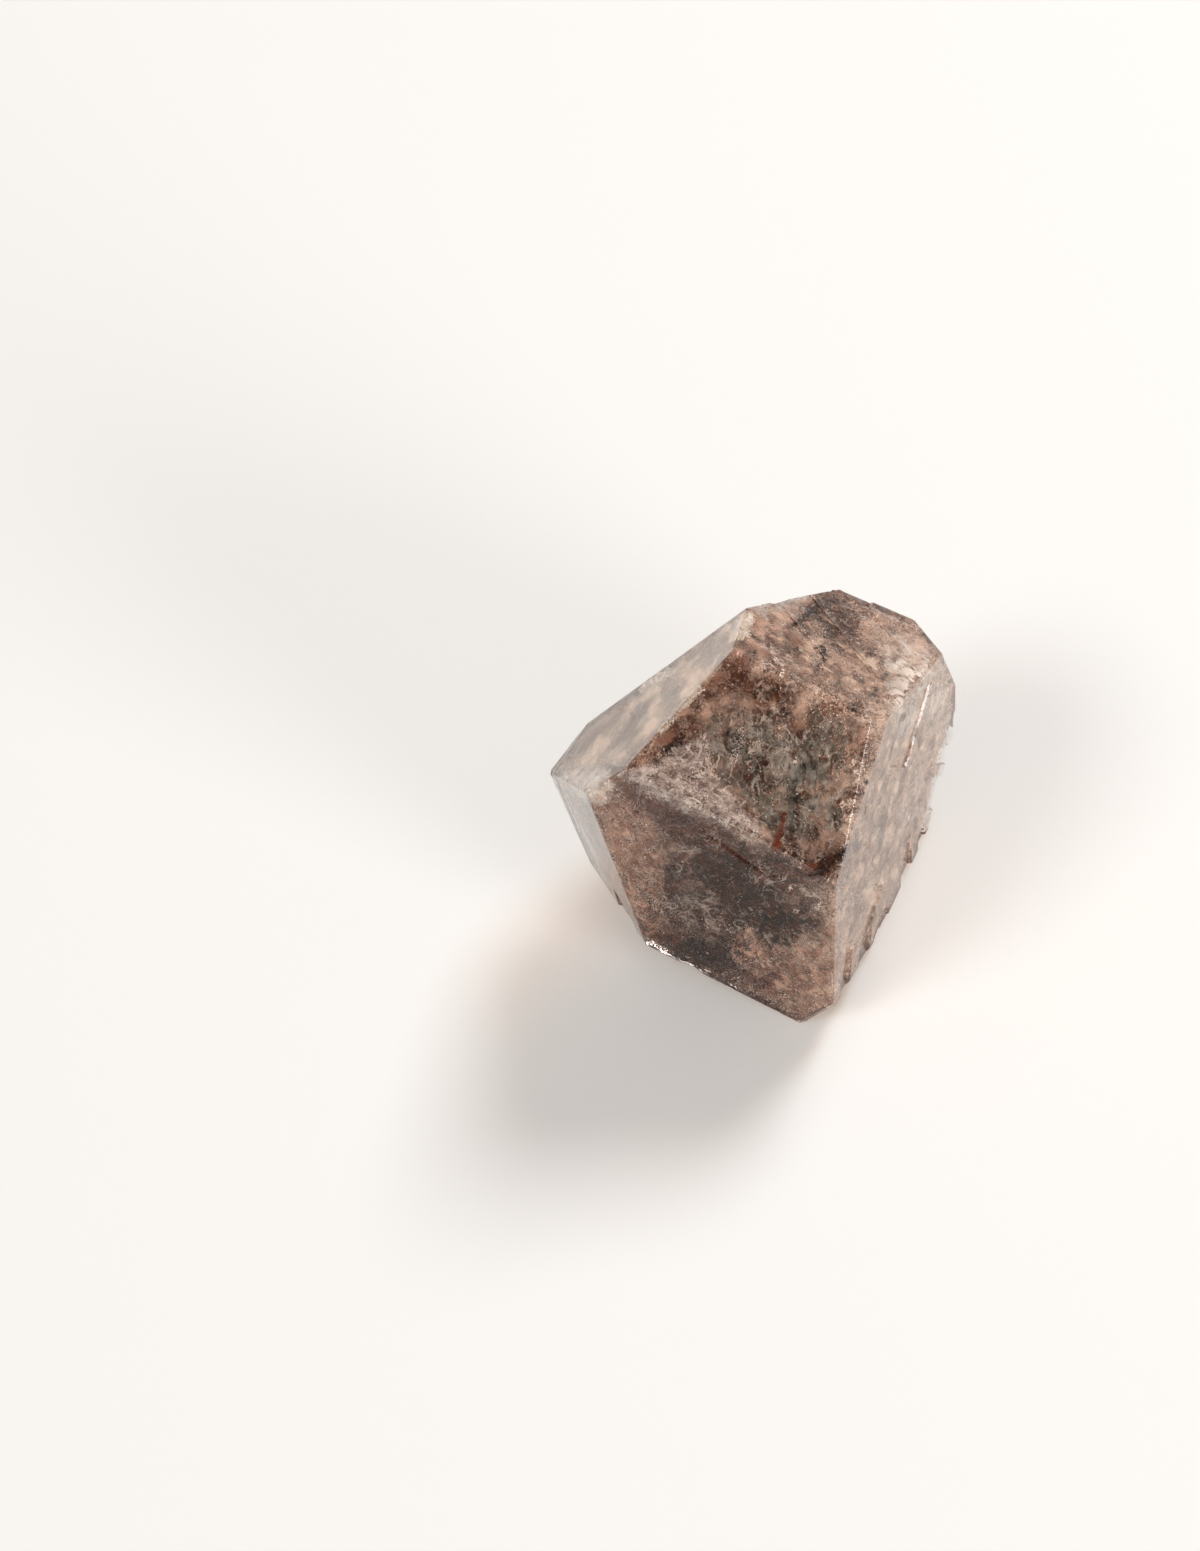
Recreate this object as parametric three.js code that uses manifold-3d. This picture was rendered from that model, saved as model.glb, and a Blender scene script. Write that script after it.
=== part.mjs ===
// A doubly terminated quartz crystal of the stubby kind sold as a Herkimer diamond.
// It grew as one piece, so it is one solid, lying on one of its lower faces.
//
// Frame: millimetres, +Z up. The origin is on the surface that the crystal lies on, under the
// middle of its box. While it is worked out, its long axis is +Z and the seed point is the origin.
//
// The form is worked out as a crystal grows. Each face is a flat plane, square to its own
// direction and at its own reach from the seed point, and the crystal is what lies inside them
// all. Sides stand round the long axis, and a point of sloping faces closes each end. Growth
// steps, ledges, striations, pits and small breaks are then cut into it.

import * as THREE from 'three';
import { ConvexGeometry } from 'three/addons/geometries/ConvexGeometry.js';
import { mergeVertices } from 'three/addons/utils/BufferGeometryUtils.js';
import Module from 'manifold-3d';

// ---- Driving dimensions: millimetres and degrees ----

// Quartz has six sides, and a point's face stands square to a line this far from the long axis.
const SIDES = 6;
const POINT_ANGLE = 51.79;

// Every face, by its form and by the side of the crystal that it is on. reach is its distance from
// the seed point. slew turns it round the long axis and lean tips it up: stepped growth leaves
// faces a few degrees off true. Upper side 1 and 3 aren't here, because their neighbours grew
// over them.
const FACES = {
  side0: { reach: 5.5, slew: 0, lean: 0 },
  side1: { reach: 5.75, slew: -0.5, lean: 0.5 },
  side2: { reach: 4.3, slew: 5.5, lean: 10.5 },
  side3: { reach: 4.5, slew: 0, lean: 0 },
  side4: { reach: 4.35, slew: 0.5, lean: 0.5 },
  side5: { reach: 5.9, slew: 0, lean: 0 },
  upper0: { reach: 5.35, slew: 5.5, lean: -1 },
  upper2: { reach: 4.6, slew: 5, lean: 4.5 },
  upper4: { reach: 4.5, slew: -6.5, lean: 9.5 },
  upper5: { reach: 3.85, slew: -3.5, lean: 2.5 },
  lower0: { reach: 3.8, slew: -10, lean: 6.5 },
  lower1: { reach: 6.65, slew: -1, lean: -1 },
  lower2: { reach: 5.1, slew: 0.5, lean: 4 },
  lower3: { reach: 3.85, slew: -2, lean: -2 },
  lower4: { reach: 4.15, slew: 0, lean: 1.5 },
  lower5: { reach: 5.3, slew: 3.5, lean: -0.5 },
};

// How it lies: on this face, turned this far about +Z.
const RESTS_ON = 'lower4';
const TURN = -36.7;

// Ledges: growth stopped short along an edge of the face named on, where it meets the face named
// beside. from and to are shares of that edge, inward is how far the ledge comes in over the face
// at either end, and depth is how much lower it lies.
const LEDGES = [
  { on: 'lower0', beside: 'lower2', from: 0.55, to: 1.05, inward: [0.5, 1.2], depth: 0.05 },
  { on: 'lower0', beside: 'lower3', from: 0.18, to: 0.52, inward: [0.5, 1.1], depth: 0.12 },
  { on: 'lower0', beside: 'lower3', from: 0.64, to: 0.84, inward: [1.7, 1.2], depth: 0.09 },
  { on: 'lower0', beside: 'lower4', from: -0.1, to: 0.16, inward: [0.9, 0.4], depth: 0.06 },
  { on: 'lower0', beside: 'lower4', from: 0.42, to: 0.64, inward: [0.6, 1.5], depth: 0.13 },
  { on: 'lower0', beside: 'lower4', from: 0.78, to: 0.93, inward: [0.8, 0.4], depth: 0.1 },
  { on: 'lower0', beside: 'lower5', from: 0.1, to: 0.3, inward: [1.6, 1.1], depth: 0.11 },
  { on: 'lower0', beside: 'lower5', from: 0.5, to: 0.74, inward: [0.5, 1.0], depth: 0.09 },
  { on: 'lower3', beside: 'lower2', from: 0.2, to: 0.7, inward: [0.8, 1.3], depth: 0.1 },
  { on: 'lower3', beside: 'side2', from: 0.3, to: 1.2, inward: [0.5, 0.9], depth: 0.14 },
  { on: 'side3', beside: 'lower3', from: 0.25, to: 0.6, inward: [1.0, 0.6], depth: 0.1 },
  { on: 'side4', beside: 'lower4', from: 0.35, to: 0.62, inward: [0.3, 0.7], depth: 0.12 },
  { on: 'upper4', beside: 'side4', from: 0.15, to: 0.5, inward: [0.4, 0.8], depth: 0.08 },
  { on: 'side1', beside: 'lower2', from: -0.1, to: 0.45, inward: [0.9, 0.5], depth: 0.08 },
];

// Terraces: a stretch of a face inside an outline that lies lower than the rest. The outline's
// points are across and up the face, from the foot of its reach line.
const TERRACES = [
  { on: 'upper5', outline: [[2.6, 0.2], [4.2, -0.4], [3.2, 2.6], [2.2, 2.4]], depth: 0.06 },
  { on: 'lower0', outline: [[2.2, -0.6], [4.6, -1.2], [4.1, 1.6], [2.6, 1.4]], depth: 0.07 },
  { on: 'lower0', outline: [[-3.2, -0.6], [-1.4, -1.2], [-1.1, 1.1], [-2.6, 1.3]], depth: 0.05 },
  { on: 'lower2', outline: [[-2.9, -1.8], [-1.2, -2.3], [-1.5, -0.2], [-2.8, 0.1]], depth: 0.09 },
  { on: 'side2', outline: [[-1.9, -1.2], [0.7, -1.5], [1.2, 0.4], [-1.4, 0.8]], depth: 0.08 },
  { on: 'side3', outline: [[-0.9, 0.6], [0.9, 0.5], [0.5, 1.9], [-0.6, 2.1]], depth: 0.07 },
];

// Striations: shallow bands that cross a side level, from one height up it to the next.
const STRIATION_DEPTH = 0.03;
const STRIATIONS = {
  side1: [[-2.1, -1.85], [-0.35, -0.2], [1.05, 1.3]],
  side2: [[-2.1, -1.9], [1.05, 1.2]],
  side3: [[-0.35, -0.2], [2.45, 2.6]],
  side4: [[-0.7, -0.55], [0.3, 0.5], [1.1, 1.2]],
};

// Pits: three-cornered etch pits, by where they lie on a face, how wide they are and how deep.
const PITS = [
  { on: 'upper0', at: [0.55, -1.6], wide: 0.24, deep: 0.07 },
  { on: 'upper0', at: [2.1, 0.9], wide: 0.16, deep: 0.05 },
  { on: 'lower0', at: [1.6, 3.1], wide: 0.22, deep: 0.07 },
  { on: 'upper5', at: [2.9, -1.5], wide: 0.2, deep: 0.06 },
  { on: 'upper5', at: [2.2, -2.6], wide: 0.26, deep: 0.08 },
  { on: 'side1', at: [-0.9, 1.2], wide: 0.18, deep: 0.06 },
  { on: 'side1', at: [0.9, -1.4], wide: 0.24, deep: 0.07 },
  { on: 'upper2', at: [-0.4, 2.6], wide: 0.2, deep: 0.06 },
  { on: 'lower3', at: [-0.8, -2.4], wide: 0.3, deep: 0.09 },
  { on: 'lower3', at: [0.9, -0.4], wide: 0.22, deep: 0.07 },
  { on: 'lower2', at: [-2.1, 0.9], wide: 0.24, deep: 0.08 },
  { on: 'side2', at: [-2.7, 0.2], wide: 0.2, deep: 0.06 },
];

// Breaks: small scooped chips where two faces meet. along is the share of the edge, bite is how
// far the chip cuts in and long is how far it runs along the edge.
const BREAKS = [
  { on: 'upper2', beside: 'upper4', along: 0.97, bite: 0.1, long: 0.7 },
  { on: 'upper0', beside: 'upper5', along: 0.98, bite: 0.05, long: 0.5 },
  { on: 'upper5', beside: 'side4', along: 0.3, bite: 0.09, long: 0.8 },
  { on: 'lower0', beside: 'lower4', along: 0.04, bite: 0.1, long: 0.6 },
  { on: 'lower0', beside: 'lower5', along: 0.93, bite: 0.16, long: 0.9 },
  { on: 'side1', beside: 'side2', along: 0.35, bite: 0.1, long: 1.0 },
  { on: 'side2', beside: 'lower3', along: 0.15, bite: 0.12, long: 0.8 },
  { on: 'side3', beside: 'side4', along: 0.6, bite: 0.08, long: 0.7 },
  { on: 'lower2', beside: 'lower3', along: 0.75, bite: 0.1, long: 0.6 },
];

// Shapes that every cut shares.
const CLEAR = 0.6; // how far a cutting shape stands out of the face that it cuts
const RISER = 0.9; // how far a step's riser runs outward for each mm that it climbs
const LEDGE_SKEW = 0.12; // how far a ledge's ends lean in, in shares of its length
const LEDGE_OVERRUN = 0.5; // how far a ledge's cut runs out past the edge
const BAND_HALF = 6; // half a striation's length: past the widest side
const SCOOP = 0.9; // a break's radius across its edge
const SCOOP_FACETS = 2; // how finely a break's scoop is faceted
const PIT_CORNERS = 3;

// Looks.
const CRYSTAL_COLOUR = 0xa8988a;
const CRYSTAL_ROUGHNESS = 0.15;

// Limits of the arithmetic.
const PARALLEL = 1e-6;
const ON_PLANE = 1e-7;
const SAME_POINT = 1e-4;

const UP = new THREE.Vector3(0, 0, 1);
const rad = THREE.MathUtils.degToRad;

// ---- The growth form ----

// The way a face looks, as a direction from the seed point.
function squareTo(name, { slew, lean }) {
  const side = Number(name.slice(-1));
  const tips = { side: 0, upper: 90 - POINT_ANGLE, lower: POINT_ANGLE - 90 };
  const tip = rad(tips[name.slice(0, -1)] + lean);
  const turn = rad((side * 360) / SIDES + slew);
  return new THREE.Vector3(
    Math.cos(turn) * Math.cos(tip),
    Math.sin(turn) * Math.cos(tip),
    Math.sin(tip),
  );
}

const planes = {};
for (const [name, face] of Object.entries(FACES)) {
  planes[name] = { normal: squareTo(name, face), reach: face.reach };
}

// The point where three planes meet, or null if they don't meet in one.
function meeting(a, b, c) {
  const bc = new THREE.Vector3().crossVectors(b.normal, c.normal);
  const ca = new THREE.Vector3().crossVectors(c.normal, a.normal);
  const ab = new THREE.Vector3().crossVectors(a.normal, b.normal);
  const spread = a.normal.dot(bc);
  if (Math.abs(spread) < PARALLEL) return null;
  return bc.multiplyScalar(a.reach)
    .addScaledVector(ca, b.reach)
    .addScaledVector(ab, c.reach)
    .divideScalar(spread);
}

const above = (plane, point) => plane.normal.dot(point) - plane.reach;

// Every corner of the crystal: the meetings of three faces that no other face cuts off.
function findCorners(all) {
  const corners = [];
  for (let i = 0; i < all.length; i++) {
    for (let j = i + 1; j < all.length; j++) {
      for (let k = j + 1; k < all.length; k++) {
        const point = meeting(all[i], all[j], all[k]);
        if (point === null) continue;
        if (all.some((plane) => above(plane, point) > ON_PLANE)) continue;
        if (corners.some((corner) => corner.distanceTo(point) < SAME_POINT)) continue;
        corners.push(point);
      }
    }
  }
  return corners;
}

const corners = findCorners(Object.values(planes));

// The two ends of the edge where two faces meet, the end nearer the upper point first.
function edgeBetween(first, second) {
  const on = corners.filter((corner) => (
    Math.abs(above(planes[first], corner)) < SAME_POINT
    && Math.abs(above(planes[second], corner)) < SAME_POINT
  ));
  if (on.length !== 2) throw new Error(`${first} and ${second} share no edge`);
  return on.sort((a, b) => b.z - a.z);
}

// A face's own frame: x across it and level, y up it, z out of it, from the foot of its reach line.
function frameOf(name) {
  const { normal, reach } = planes[name];
  const across = new THREE.Vector3().crossVectors(UP, normal).normalize();
  const upward = new THREE.Vector3().crossVectors(normal, across);
  const foot = normal.clone().multiplyScalar(reach);
  return new THREE.Matrix4().makeBasis(across, upward, normal).setPosition(foot);
}

// ---- Solids ----

const wasm = await Module();
wasm.setup();

function solidOf(geometry) {
  geometry.deleteAttribute('normal');
  geometry.deleteAttribute('uv');
  const merged = mergeVertices(geometry, ON_PLANE);
  return new wasm.Manifold(new wasm.Mesh({
    numProp: 3,
    vertProperties: new Float32Array(merged.attributes.position.array),
    triVerts: new Uint32Array(merged.index.array),
  }));
}

function geometryOf(solid) {
  const { vertProperties, triVerts } = solid.getMesh();
  const geometry = new THREE.BufferGeometry();
  geometry.setAttribute('position', new THREE.BufferAttribute(new Float32Array(vertProperties), 3));
  geometry.setIndex(new THREE.BufferAttribute(new Uint32Array(triVerts), 1));
  return geometry;
}

// ---- What is cut into it ----

// A flat-bottomed step on a face. Its risers slope outward from the outline, up to the face.
function stepTool(on, outline, depth) {
  const middle = new THREE.Vector2();
  for (const [across, upward] of outline) middle.add(new THREE.Vector2(across, upward));
  middle.divideScalar(outline.length);
  const points = [];
  for (const [across, upward] of outline) {
    const foot = new THREE.Vector2(across, upward);
    const outward = foot.clone().sub(middle).normalize();
    const top = foot.clone().addScaledVector(outward, RISER * (depth + CLEAR));
    points.push(new THREE.Vector3(foot.x, foot.y, -depth));
    points.push(new THREE.Vector3(top.x, top.y, CLEAR));
  }
  return solidOf(new ConvexGeometry(points).applyMatrix4(frameOf(on)));
}

function ledgeTool({ on, beside, from, to, inward, depth }) {
  const toFace = frameOf(on).invert();
  const [start, end] = edgeBetween(on, beside).map((corner) => corner.clone().applyMatrix4(toFace));
  const along = end.clone().sub(start);
  const into = new THREE.Vector3(-along.y, along.x, 0).normalize();
  if (into.dot(start) > 0) into.negate();
  const skew = (to - from) * LEDGE_SKEW;
  const spot = (share, distance) => {
    const point = start.clone().addScaledVector(along, share).addScaledVector(into, distance);
    return [point.x, point.y];
  };
  const outline = [
    spot(from, -LEDGE_OVERRUN),
    spot(to, -LEDGE_OVERRUN),
    spot(to - skew, inward[1]),
    spot(from + skew, inward[0]),
  ];
  return stepTool(on, outline, depth);
}

function striationTool(on, [low, high]) {
  const outline = [[-BAND_HALF, low], [BAND_HALF, low], [BAND_HALF, high], [-BAND_HALF, high]];
  return stepTool(on, outline, STRIATION_DEPTH);
}

// A cone of three sides, point down. It is taller than the pit, so it stands out of the face.
function pitTool({ on, at, wide, deep }) {
  const [across, upward] = at;
  const stretch = (deep + CLEAR) / deep;
  const cone = new THREE.ConeGeometry((wide / 2) * stretch, deep * stretch, PIT_CORNERS);
  cone.rotateX(-Math.PI / 2);
  cone.translate(across, upward, (deep * stretch) / 2 - deep);
  return solidOf(cone.applyMatrix4(frameOf(on)));
}

// A round scoop, centred outside the edge, that bites into it.
function breakTool({ on, beside, along, bite, long }) {
  const [start, end] = edgeBetween(on, beside);
  const run = end.clone().sub(start).normalize();
  const outward = planes[on].normal.clone().add(planes[beside].normal).normalize();
  const sideways = new THREE.Vector3().crossVectors(outward, run);
  const middle = start.clone().lerp(end, along).addScaledVector(outward, SCOOP - bite);
  const reachAlong = long / Math.sqrt((2 * bite) / SCOOP) / 2;
  const scoop = new THREE.IcosahedronGeometry(1, SCOOP_FACETS);
  scoop.scale(reachAlong, SCOOP, SCOOP);
  const place = new THREE.Matrix4().makeBasis(run, sideways, outward).setPosition(middle);
  if (place.determinant() < 0) throw new Error('a scoop is placed inside out');
  return solidOf(scoop.applyMatrix4(place));
}

// ---- The crystal ----

function cutCrystal() {
  const tools = [];
  for (const ledge of LEDGES) tools.push(ledgeTool(ledge));
  for (const { on, outline, depth } of TERRACES) tools.push(stepTool(on, outline, depth));
  for (const [on, bands] of Object.entries(STRIATIONS)) {
    for (const band of bands) tools.push(striationTool(on, band));
  }
  for (const pit of PITS) tools.push(pitTool(pit));
  for (const chip of BREAKS) tools.push(breakTool(chip));
  let solid = solidOf(new ConvexGeometry(corners));
  for (const tool of tools) solid = solid.subtract(tool);
  return geometryOf(solid);
}

// Turns the face that it lies on downward, then stands its box on the origin.
function layDown(geometry) {
  const down = UP.clone().negate();
  const onto = new THREE.Quaternion().setFromUnitVectors(planes[RESTS_ON].normal, down);
  const turned = new THREE.Quaternion().setFromAxisAngle(UP, rad(TURN)).multiply(onto);
  geometry.applyQuaternion(turned);
  geometry.computeBoundingBox();
  const middle = geometry.boundingBox.getCenter(new THREE.Vector3());
  geometry.translate(-middle.x, -middle.y, -geometry.boundingBox.min.z);
  return geometry;
}

const crystal = new THREE.Mesh(
  layDown(cutCrystal()),
  new THREE.MeshStandardMaterial({
    color: CRYSTAL_COLOUR,
    roughness: CRYSTAL_ROUGHNESS,
    metalness: 0,
  }),
);
crystal.name = 'crystal';

const group = new THREE.Group();
group.add(crystal);

export default group;
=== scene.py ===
import math

import bmesh
import bpy
import numpy as np
from mathutils import Matrix, Vector
from mathutils.bvhtree import BVHTree


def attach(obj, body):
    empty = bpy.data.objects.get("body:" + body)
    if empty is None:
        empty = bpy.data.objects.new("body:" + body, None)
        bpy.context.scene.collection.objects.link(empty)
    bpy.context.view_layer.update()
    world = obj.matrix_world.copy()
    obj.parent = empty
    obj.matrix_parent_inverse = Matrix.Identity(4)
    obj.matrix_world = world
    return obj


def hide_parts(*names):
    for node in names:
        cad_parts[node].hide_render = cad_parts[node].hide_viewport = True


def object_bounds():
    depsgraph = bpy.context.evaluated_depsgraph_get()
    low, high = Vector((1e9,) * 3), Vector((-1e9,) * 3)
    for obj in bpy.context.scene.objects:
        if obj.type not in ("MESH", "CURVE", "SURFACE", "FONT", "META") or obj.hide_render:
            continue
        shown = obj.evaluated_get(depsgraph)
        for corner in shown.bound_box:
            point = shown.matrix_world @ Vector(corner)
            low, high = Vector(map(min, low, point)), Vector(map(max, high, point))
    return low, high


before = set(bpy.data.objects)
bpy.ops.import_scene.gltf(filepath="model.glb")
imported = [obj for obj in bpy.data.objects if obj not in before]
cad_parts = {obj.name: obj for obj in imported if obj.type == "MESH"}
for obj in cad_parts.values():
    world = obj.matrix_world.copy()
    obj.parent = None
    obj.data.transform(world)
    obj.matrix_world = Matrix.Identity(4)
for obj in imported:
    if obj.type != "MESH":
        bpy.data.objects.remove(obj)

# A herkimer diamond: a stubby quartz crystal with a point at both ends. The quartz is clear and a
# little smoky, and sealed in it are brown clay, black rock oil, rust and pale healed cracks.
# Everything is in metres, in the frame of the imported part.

CAD_BOX = [list(corner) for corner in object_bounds()]
MM = 0.001
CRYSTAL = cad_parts["crystal"]

# ---- The eye: how the crystal is looked at ----

PICTURE = (1200, 1551)  # pixels across and down
PIXELS_A_MM = 36.0
LENS, SENSOR = 200.0, 36.0  # a long lens, in mm, and the long side of its picture
EYE_ELEVATION, EYE_ROLL = 51.8, -10.13  # degrees
CRYSTAL_SHOWS_AT = (762.6, 770.1)  # the middle of the crystal's box, in pixels


def eye_axes():
    """The eye's right, its up, and the way back from the crystal to the eye."""
    tilt, roll = math.radians(EYE_ELEVATION), math.radians(EYE_ROLL)
    back = Vector((0, -math.cos(tilt), math.sin(tilt)))
    level = Vector((1, 0, 0))
    rise = back.cross(level)
    right = level * math.cos(roll) + rise * math.sin(roll)
    return right, back.cross(right), back


def on_picture(x, y):
    """Millimetres right of and above the picture's middle, at the crystal."""
    return (x - PICTURE[0] / 2) / PIXELS_A_MM, (PICTURE[1] / 2 - y) / PIXELS_A_MM


RIGHT, UP, BACK = eye_axes()
REACH = PICTURE[1] / PIXELS_A_MM * LENS / SENSOR  # from the eye to the crystal, in mm
MIDDLE = (Vector(CAD_BOX[0]) + Vector(CAD_BOX[1])) / 2
_across, _above = on_picture(*CRYSTAL_SHOWS_AT)
EYE = MIDDLE + (BACK * REACH - RIGHT * _across - UP * _above) * MM


def make_camera():
    """The eye, as a camera."""
    camera = bpy.data.objects.new("camera", bpy.data.cameras.new("camera"))
    camera.data.lens, camera.data.sensor_width = LENS, SENSOR
    camera.data.clip_start, camera.data.clip_end = REACH * MM * 0.1, REACH * MM * 20
    camera.matrix_world = Matrix.Translation(EYE) @ Matrix((RIGHT, UP, BACK)).transposed().to_4x4()
    bpy.context.scene.collection.objects.link(camera)
    bpy.context.scene.camera = camera


# ---- Inside the crystal ----

IOR = 1.544  # quartz
SKIN = 0.06 * MM  # clear quartz left over everything that is sealed in
LOOK_AT = (544, 582, 966, 1030)  # the part of the picture that the crystal takes up, in pixels
LOOK_STEP = 2.0  # pixels
NUDGE = 0.01  # mm, how far past a face a ray sets off, so that it doesn't meet that face again


def merged_crystal():
    """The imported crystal's faces, joined at their shared corners, each flat face in one."""
    mesh = bmesh.new()
    mesh.from_mesh(CRYSTAL.data)
    bmesh.ops.remove_doubles(mesh, verts=mesh.verts, dist=0.0005 * MM)
    bmesh.ops.dissolve_limit(
        mesh, angle_limit=math.radians(0.5), verts=mesh.verts, edges=mesh.edges)
    return mesh


def bent(ray, normal, ratio):
    """A ray after it is refracted at a face."""
    square = -ray.dot(normal)
    return ratio * ray + (ratio * square - math.sqrt(1 - ratio**2 * (1 - square**2))) * normal


def look_through(tree):
    """A grid over the picture: where each of the eye's rays enters the crystal, and the way from
    there to where it leaves."""
    left, top, right, bottom = LOOK_AT
    rows, columns = np.arange(top, bottom, LOOK_STEP), np.arange(left, right, LOOK_STEP)
    grid = np.full((len(rows), len(columns), 6), np.nan)
    for row, y in enumerate(rows):
        for column, x in enumerate(columns):
            across, above = on_picture(x, y)
            ray = (RIGHT * across + UP * above - BACK * REACH).normalized()
            near, normal, _, _ = tree.ray_cast(EYE, ray)
            if near is None:
                continue
            inward = bent(ray, normal, 1 / IOR)
            far = tree.ray_cast(near + inward * NUDGE * MM, inward)[0]
            if far is not None:
                grid[row, column] = *near, *(far - near)
    return grid


TREE = BVHTree.FromBMesh(merged_crystal())
LOOK = look_through(TREE)


def seen_through(places, shares, depths=None):
    """The points inside that show at places in the picture, each a share of the way from the near
    face to the far one, or a depth from the near face. Beside the crystal there is no number."""
    cells = (places - LOOK_AT[:2]) / LOOK_STEP
    first = np.floor(cells).astype(int)
    parts = cells - first
    ways = 0
    for down, across in np.ndindex(2, 2):
        share = np.where((across, down), parts, 1 - parts).prod(axis=1)
        row = (first[:, 1] + down).clip(0, LOOK.shape[0] - 1)
        column = (first[:, 0] + across).clip(0, LOOK.shape[1] - 1)
        ways = ways + share[:, None] * LOOK[row, column]
    if depths is not None:
        shares = depths / np.linalg.norm(ways[:, 3:], axis=1)
    return ways[:, :3] + ways[:, 3:] * shares[:, None]


def sealed(points, room):
    """Which points have quartz all round them, for at least this far."""
    rooms = np.broadcast_to(room, len(points)) + SKIN
    inside = np.zeros(len(points), bool)
    for i in np.flatnonzero(np.isfinite(points[:, 0])):
        near, normal, _, away = TREE.find_nearest(points[i])
        inside[i] = away > rooms[i] and normal.dot(near - Vector(points[i])) > 0
    return inside


# ---- Materials ----


def tint(code):
    """A linear colour from an sRGB hex value."""
    parts = [int(code[i:i + 2], 16) / 255 for i in (1, 3, 5)]
    return [c / 12.92 if c <= 0.04045 else ((c + 0.055) / 1.055) ** 2.4 for c in parts] + [1.0]


def put(tree, kind, inputs=None, stops=None, **settings):
    """Adds a node, with its settings, its inputs' values or links, and its ramp's stops."""
    made = tree.nodes.new(kind)
    for name, value in settings.items():
        setattr(made, name, value)
    for name, value in (inputs or {}).items():
        if isinstance(value, bpy.types.NodeSocket):
            tree.links.new(value, made.inputs[name])
        else:
            made.inputs[name].default_value = value
    for i, (place, colour) in enumerate(stops or []):
        while len(made.color_ramp.elements) <= i:
            made.color_ramp.elements.new(1.0)
        made.color_ramp.elements[i].position = place
        made.color_ramp.elements[i].color = colour
    return made


def new_material(name):
    """An empty material, and its nodes."""
    material = bpy.data.materials.new(name)
    material.use_nodes = True
    material.node_tree.nodes.clear()
    return material, material.node_tree


def pattern(tree, size_mm, detail=1.0):
    """Noise over the object, in features of about this many millimetres."""
    place = put(tree, "ShaderNodeTexCoord").outputs["Object"]
    return put(tree, "ShaderNodeTexNoise",
               {"Vector": place, "Scale": 1 / (size_mm * MM), "Detail": detail}).outputs["Fac"]


STEPPED_WAY = (0.863, -0.497, -0.083)  # the way that the face with the most growth steps looks
STEPPED_FROM, STEPPED_TO = 2.2 * MM, 0.4 * MM  # how far behind it the frost starts and is full
CORNERS = np.array([v.co for v in CRYSTAL.data.vertices])
STEPPED_REACH = float((CORNERS @ np.array(STEPPED_WAY)).max())


def clear_quartz():
    """Natural quartz, grown and not polished: glassy, with a fine frost in patches, and smoky."""
    material, tree = new_material("clear_quartz")
    patches = put(tree, "ShaderNodeMapRange", {
        "Value": pattern(tree, 2.2, 2.0), "From Min": 0.4, "From Max": 0.62,
        "To Min": 0.03, "To Max": 0.13}).outputs["Result"]
    place = put(tree, "ShaderNodeTexCoord").outputs["Object"]
    reach = put(tree, "ShaderNodeVectorMath", {0: place, 1: STEPPED_WAY},
                operation="DOT_PRODUCT").outputs["Value"]
    stepped = put(tree, "ShaderNodeMapRange", {
        "Value": reach, "From Min": STEPPED_REACH - STEPPED_FROM,
        "From Max": STEPPED_REACH - STEPPED_TO, "To Min": 0.0, "To Max": 0.08}).outputs["Result"]
    frost = put(tree, "ShaderNodeMath", {0: patches, 1: stepped}, operation="ADD").outputs["Value"]
    hillocks = put(tree, "ShaderNodeBump", {
        "Height": pattern(tree, 0.16), "Strength": 0.25, "Distance": 0.02 * MM,
    }).outputs["Normal"]
    glass = put(tree, "ShaderNodeBsdfPrincipled", {
        "Base Color": tint("#ffffff"), "Transmission Weight": 1.0, "IOR": IOR,
        "Roughness": frost, "Normal": hillocks,
    })
    lets_light_in = put(tree, "ShaderNodeMixShader", {
        0: put(tree, "ShaderNodeLightPath").outputs["Is Shadow Ray"],
        1: glass.outputs["BSDF"],
        2: put(tree, "ShaderNodeBsdfTransparent", {"Color": tint("#e2cfbd")}).outputs["BSDF"],
    }).outputs["Shader"]
    smoke = put(tree, "ShaderNodeVolumeAbsorption", {"Color": tint("#c9a488"), "Density": 80.0})
    put(tree, "ShaderNodeOutputMaterial", {"Surface": lets_light_in,
                                           "Volume": smoke.outputs["Volume"]})
    return material


def earthy(name, dark, light, mottle_mm, roughness=0.9):
    """A mineral whose colour drifts between two shades. It has no sheen, as quartz wets it all
    round."""
    material, tree = new_material(name)
    colour = put(tree, "ShaderNodeValToRGB", {"Fac": pattern(tree, mottle_mm)},
                 stops=[(0.4, tint(dark)), (0.62, tint(light))]).outputs["Color"]
    body = put(tree, "ShaderNodeBsdfPrincipled", {
        "Base Color": colour, "Roughness": roughness, "Specular IOR Level": 0.0})
    put(tree, "ShaderNodeOutputMaterial", {"Surface": body.outputs["BSDF"]})
    return material


HAZE_STRETCH = (0.4, 1, 1)  # makes a film's blotches 2.5 times as long as wide


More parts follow.
